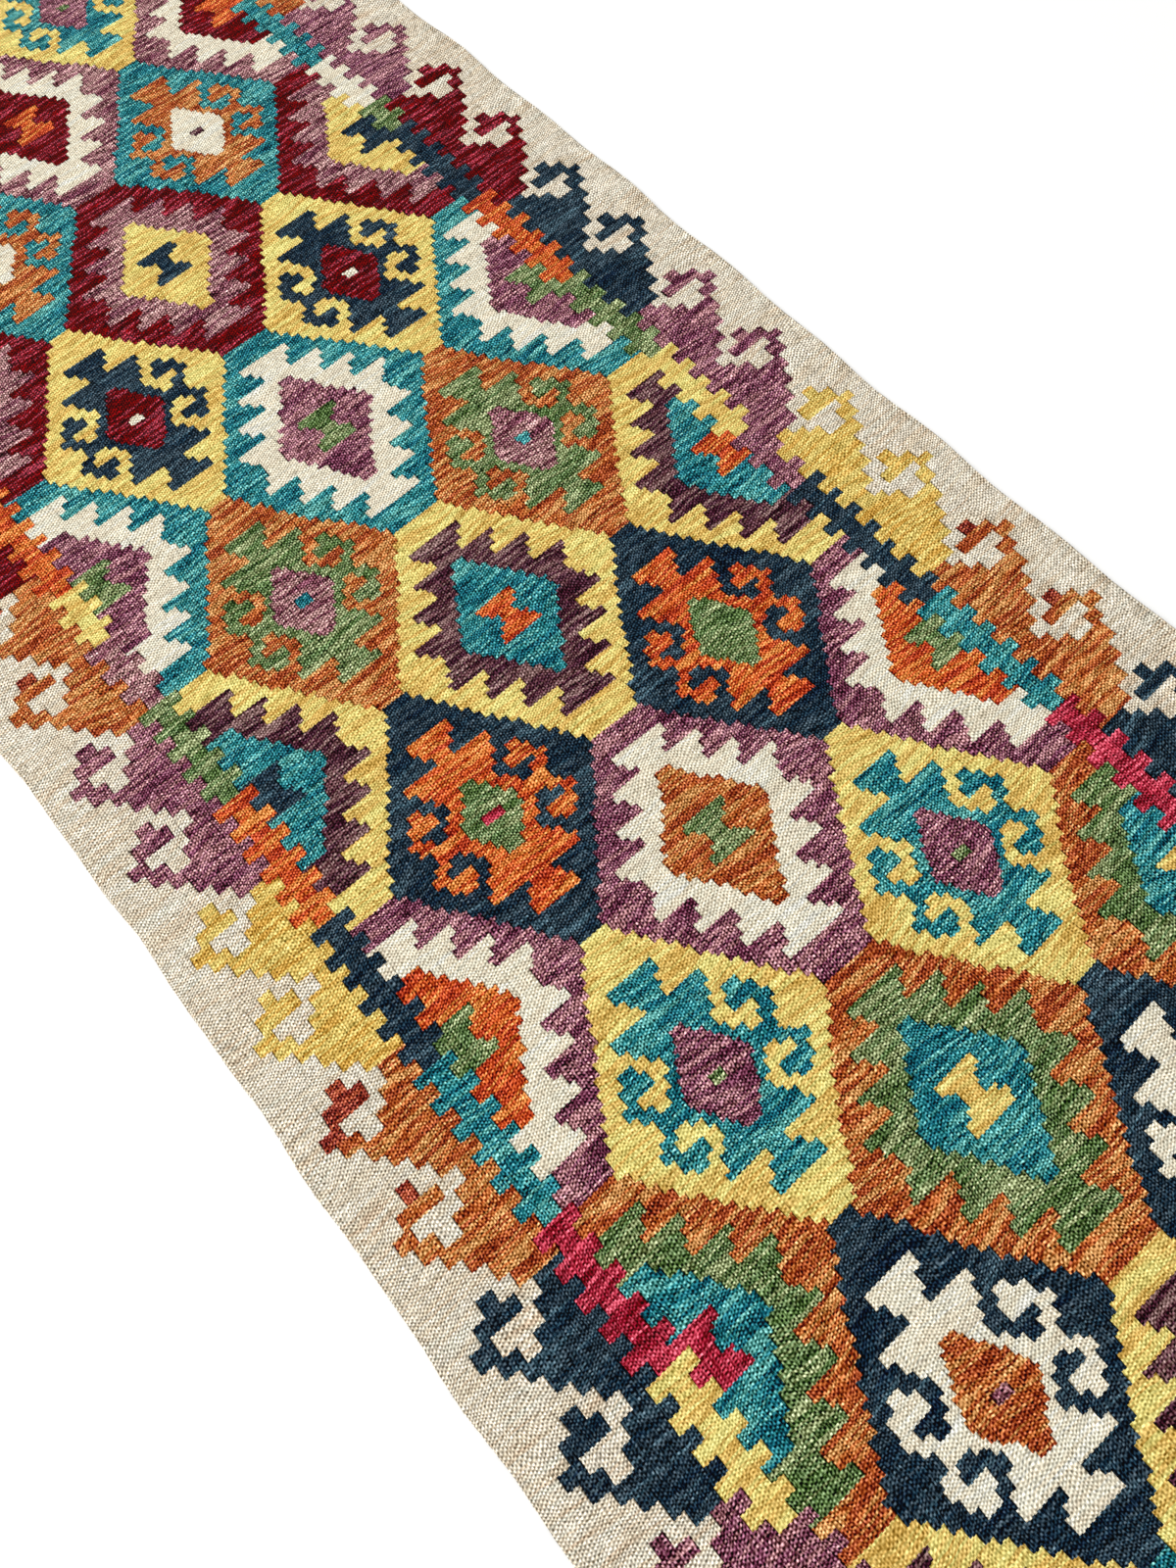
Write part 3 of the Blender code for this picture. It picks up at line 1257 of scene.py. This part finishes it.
@dataclass(frozen=True)
class FloorFinish:
    """A plain matt white studio floor: even, with no pattern and hardly any gloss."""

    colour: str = "#F4F4F3"

    def material(self) -> bpy.types.Material:
        """Builds the floor's material.

        Returns:
            The material.
        """
        made = bpy.data.materials.new("studio_floor_matt_white")
        made.use_nodes = True
        tree = made.node_tree
        tree.nodes.clear()
        shader = add(tree, "ShaderNodeBsdfPrincipled", None, {
            "Base Color": linear(self.colour), "Roughness": 0.9, "Specular IOR Level": 0.1})  # fmt: skip
        add(tree, "ShaderNodeOutputMaterial", None, {"Surface": shader.outputs[0]})
        return made


# ------------------------------------------------------------------------------------------------
# The rug and the studio
# ------------------------------------------------------------------------------------------------


@dataclass
class KilimRunner:
    """The whole rug: one piece for each wool on its face, and its underside."""

    solid: bpy.types.Object
    loom: Loom = Loom()
    thickness: float = 0.0035
    coarse: int = 80
    coarse_slit: int = 4

    def build(self) -> list[bpy.types.Object]:
        """Returns:
            The pieces, the underside first.
        """
        half = Pattern(self.loom).draw().half_rows()
        lay = Lay(self.loom, Outline.of(self.solid))
        materials = {wool: WOOL_FINISHES[wool].material(float(wool)) for wool in Wool}
        below = WovenFace(
            self.loom,
            half,
            lay,
            Relief().turned(self.thickness),
            every=self.coarse,
            slit_every=self.coarse_slit,
            upward=False,
        )
        above = WovenFace(self.loom, half, lay, Relief())
        underside = self._piece(below.mesh("kilim_underside"), list(materials.values()))
        faces = []
        for wool in Wool:
            mesh = above.mesh(f"kilim_face_{wool.name.lower()}", wool)
            faces.append(self._piece(mesh, [materials[wool]]))
        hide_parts("kilim")
        pieces = [underside, *faces]
        triangles = sum(len(piece.data.polygons) for piece in pieces)
        log.info("cloth: %d triangles in %d pieces", triangles, len(pieces))
        return pieces

    def _piece(self, mesh: bpy.types.Mesh, materials: list[bpy.types.Material]) -> bpy.types.Object:
        """Makes one piece of the rug that rides on the rug's body.

        Args:
            mesh: Its mesh.
            materials: Its materials, in the order of its material numbers.

        Returns:
            The piece.
        """
        for material in materials:
            mesh.materials.append(material)
        piece = bpy.data.objects.new(mesh.name, mesh)
        bpy.context.scene.collection.objects.link(piece)
        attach(piece, "root")
        log.info("%s: %d triangles", piece.name, len(mesh.polygons))
        return piece


@dataclass(frozen=True)
class Studio:
    """A pale floor, soft daylight from one side and all round, and the camera over the rug's left half.

    The camera's place, its three axes and its lens come from a fit of the woven pattern to the photo.
    """

    floor_size: float = 14.0
    place: tuple[float, float, float] = (-0.2274, -0.438, 0.866)
    right: tuple[float, float, float] = (0.7552, -0.6535, -0.0515)
    up: tuple[float, float, float] = (0.6270, 0.6972, 0.3476)
    back: tuple[float, float, float] = (-0.1912, -0.2948, 0.9362)
    lens: float = 25.77
    key_place: tuple[float, float, float] = (-3.2, 2.6, 4.4)
    key_size: float = 4.0
    key_power: float = 248.0
    sky: float = 0.76

    def build(self) -> None:
        """Sets up the floor, the lights, the surroundings and the camera."""
        self._floor()
        self._key_light()
        world = bpy.data.worlds.new("soft_surroundings")
        world.use_nodes = True
        background = world.node_tree.nodes["Background"]
        background.inputs["Color"].default_value = linear("#FFFFFF")
        background.inputs["Strength"].default_value = self.sky
        bpy.context.scene.world = world
        bpy.context.scene.view_settings.view_transform = "Standard"
        self._camera()
        log.info("studio: floor, light and camera are set")

    def _floor(self) -> None:
        """A flat square floor, just under the rug, which isn't part of the object."""
        side = self.floor_size / 2
        mesh = bpy.data.meshes.new("floor")
        corners = [(-side, -side, 0), (side, -side, 0), (side, side, 0), (-side, side, 0)]
        mesh.from_pydata(corners, [], [(0, 1, 2, 3)])
        mesh.materials.append(FloorFinish().material())
        floor = bpy.data.objects.new("floor", mesh)
        bpy.context.scene.collection.objects.link(floor)

    def _key_light(self) -> None:
        """A large square soft light, turned to the middle of the rug."""
        lamp = bpy.data.lights.new("key_light", "AREA")
        lamp.shape, lamp.size, lamp.energy = "SQUARE", self.key_size, self.key_power
        holder = bpy.data.objects.new("key_light", lamp)
        holder.matrix_world = look_at(np.array(self.key_place), np.zeros(3))
        bpy.context.scene.collection.objects.link(holder)

    def _camera(self) -> None:
        """The camera, where the photograph was taken from; its axes are first squared to each other."""
        camera = bpy.data.cameras.new("camera")
        camera.lens, camera.sensor_width, camera.sensor_fit = self.lens, 36.0, "AUTO"
        camera.clip_start = 0.01
        holder = bpy.data.objects.new("camera", camera)
        axes, _, signs = np.linalg.svd(np.array([self.right, self.up, self.back]).T)
        turned = np.eye(4)
        turned[:3, :3] = axes @ signs
        turned[:3, 3] = self.place
        holder.matrix_world = Matrix(turned.tolist())
        bpy.context.scene.collection.objects.link(holder)
        bpy.context.scene.camera = holder


def look_at(place: np.ndarray, target: np.ndarray) -> Matrix:
    """The placing of a light that shines from one point to another.

    Args:
        place: Where it is.
        target: What it shines at.

    Returns:
        Its matrix, whose third axis points away from the target.
    """
    back = (place - target) / np.linalg.norm(place - target)
    right = np.cross((0.0, 0.0, 1.0), back)
    right = right / np.linalg.norm(right)
    turned = np.eye(4)
    turned[:3, :4] = np.stack([right, np.cross(back, right), back, place], axis=1)
    return Matrix(turned.tolist())


def main() -> None:
    """Loads the frame, and builds the rug and the studio."""
    logging.basicConfig(level=logging.INFO, format="%(name)s: %(message)s")
    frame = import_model()
    KilimRunner(frame["nodes"]["kilim"]).build()
    Studio().build()


if __name__ == "__main__":
    main()
